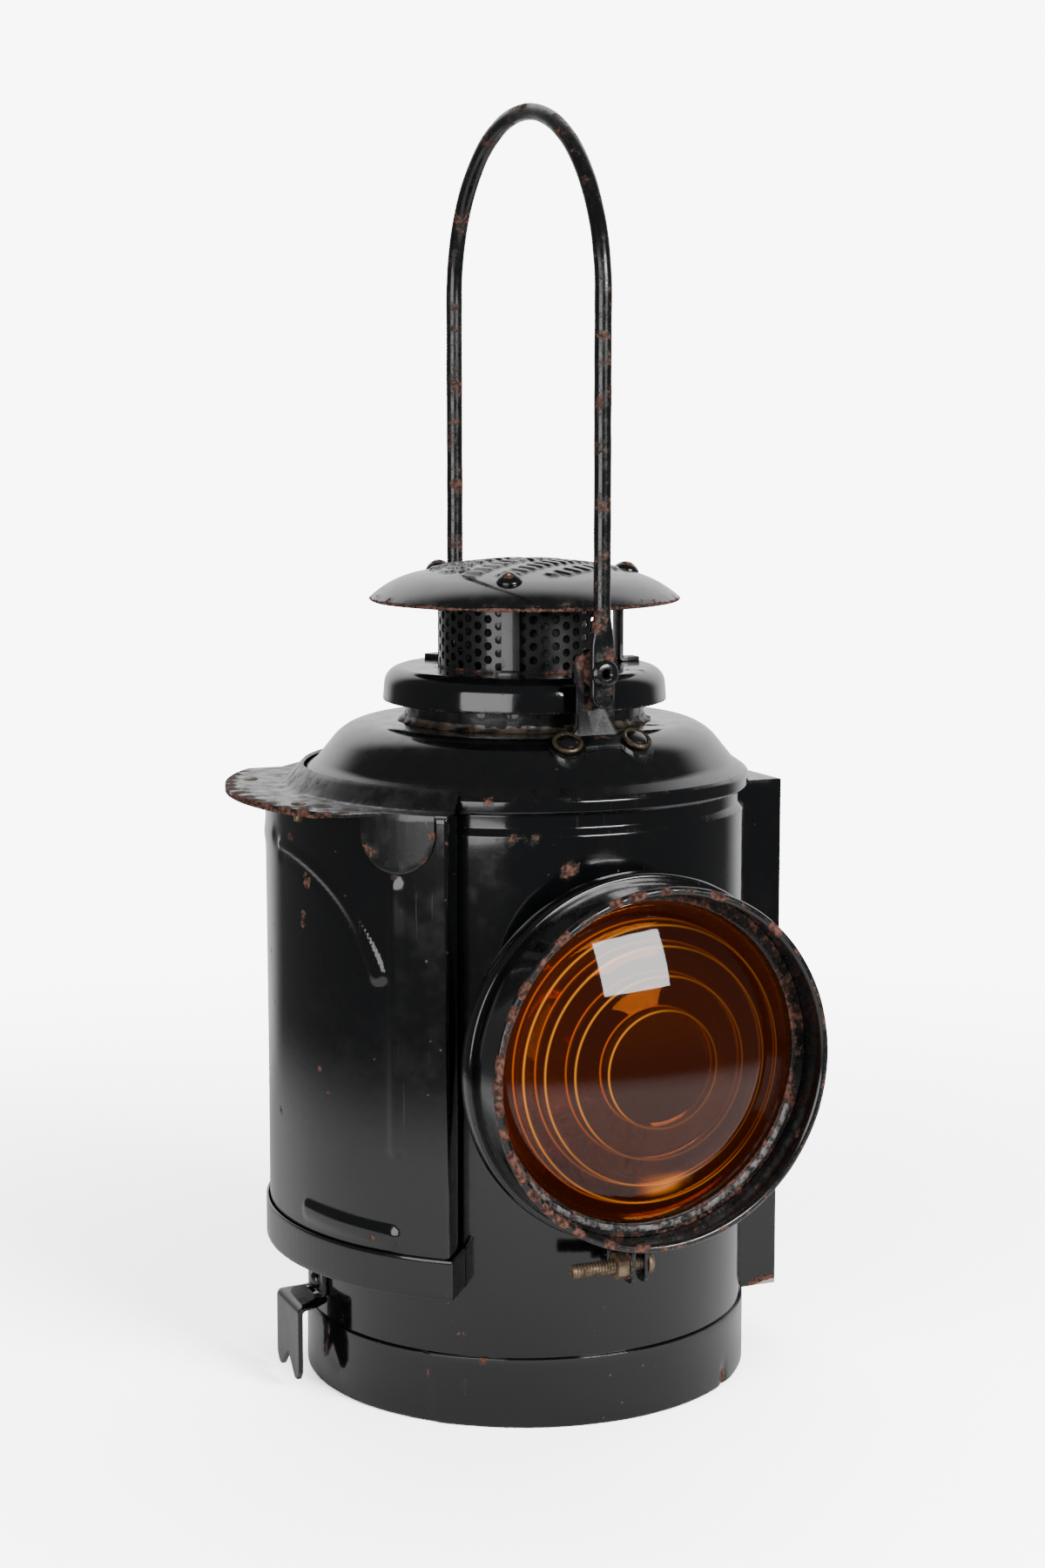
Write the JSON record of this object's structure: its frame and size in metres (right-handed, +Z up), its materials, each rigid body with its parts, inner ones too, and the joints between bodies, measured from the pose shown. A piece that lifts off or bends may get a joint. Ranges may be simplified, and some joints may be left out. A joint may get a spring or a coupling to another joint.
{
  "type": "railway signal oil lamp",
  "caption": "Black enamelled railway signal oil lamp: round case, amber stepped lens in a hood, vented chimney, tall bail, lifting curved door and bracket pocket.",
  "frame": {"origin": "centre of the base band's lower edge, on the surface the lamp stands on", "axes": "+Z up along the case, -Y out through the lens, -X towards the sliding door, +X towards the bracket pocket"},
  "size_m": [0.1944, 0.1844, 0.429],
  "materials": {
    "black_enamel": "gloss enamel, chipped and rusty at edges",
    "worn_enamel": "gloss enamel worn to metal and rust by handling",
    "rivet_steel": "enamelled rivets worn at the edges",
    "sooty_steel": "dull sooty enamel",
    "worn_bolt": "rusty zinc-plated steel",
    "inside_steel": "matt black paint",
    "tinned_steel": "dull tinned steel",
    "burner_brass": "aged brass",
    "amber_glass": "clear amber pressed glass",
    "clear_glass": "clear blown glass",
    "felt": "felt packing",
    "wick_cotton": "woven cotton"
  },
  "bodies": {
    "lamp": {"base_band": "black_enamel", "body_shell": "black_enamel", "bracket_rivets": "rivet_steel", "bracket_socket": "black_enamel", "burner_body": "burner_brass", "burner_collar": "burner_brass", "burner_cone": "burner_brass", "cap_rivets": "rivet_steel", "chimney_cap": "black_enamel", "chimney_screen": "sooty_steel", "chimney_strap_1": "sooty_steel", "chimney_strap_2": "sooty_steel", "chimney_strap_3": "sooty_steel", "clamp_bolt": "worn_bolt", "clamp_nut": "worn_bolt", "clamp_washer": "worn_bolt", "dome_top": "black_enamel", "door_guide_front": "black_enamel", "door_guide_rear": "black_enamel", "door_sill": "black_enamel", "draught_ring": "black_enamel", "floor_pan": "inside_steel", "fount_tank": "tinned_steel", "glass_chimney": "clear_glass", "handle_bracket_front": "black_enamel", "handle_bracket_rear": "black_enamel", "hood_clamp": "black_enamel", "hook_rivet": "rivet_steel", "lens": "amber_glass", "lens_gasket": "felt", "lens_hood": "black_enamel", "lens_ring": "black_enamel", "lens_socket": "black_enamel", "locating_hook": "black_enamel", "neck_collar": "black_enamel", "pivot_rivet_front": "rivet_steel", "pivot_rivet_rear": "rivet_steel", "pivot_washers": "rivet_steel"},
    "bail": {"bail": "worn_enamel"},
    "door": {"door_panel": "black_enamel", "door_hood": "black_enamel", "brim_stiffener": "black_enamel", "brim_rivets": "rivet_steel"},
    "wick_winder": {"wick_winder": "burner_brass"},
    "wick": {"wick": "wick_cotton"},
    "filler_cap": {"filler_cap": "burner_brass"}
  },
  "joints": [
    {"name": "handle_swing", "type": "hinge", "parent": "lamp", "child": "bail", "pos_m": [0, 0, 0.2455], "axis": [0, 1, 0], "range_deg": [-18, 118]},
    {"name": "door_slide", "type": "slide", "parent": "lamp", "child": "door", "axis": [0, 0, 1], "range_m": [0, 0.125]},
    {"name": "wick_turn", "type": "hinge", "parent": "lamp", "child": "wick_winder", "pos_m": [0, -0.0053, 0.0831], "axis": [1, 0, 0], "range_deg": [-90, 90]},
    {"name": "wick_raise", "type": "slide", "parent": "lamp", "child": "wick", "axis": [0, 0, 1], "range_m": [-0.0065, 0.0065]},
    {"name": "filler_cap_turn", "type": "hinge", "parent": "lamp", "child": "filler_cap", "pos_m": [0, 0.027, 0.0741], "axis": [0, 0, 1], "range_deg": [0, 330]}
  ],
  "couplings": [
    {"joint": "wick_raise", "follows": "wick_turn", "m_per_rad": 0.004}
  ]
}
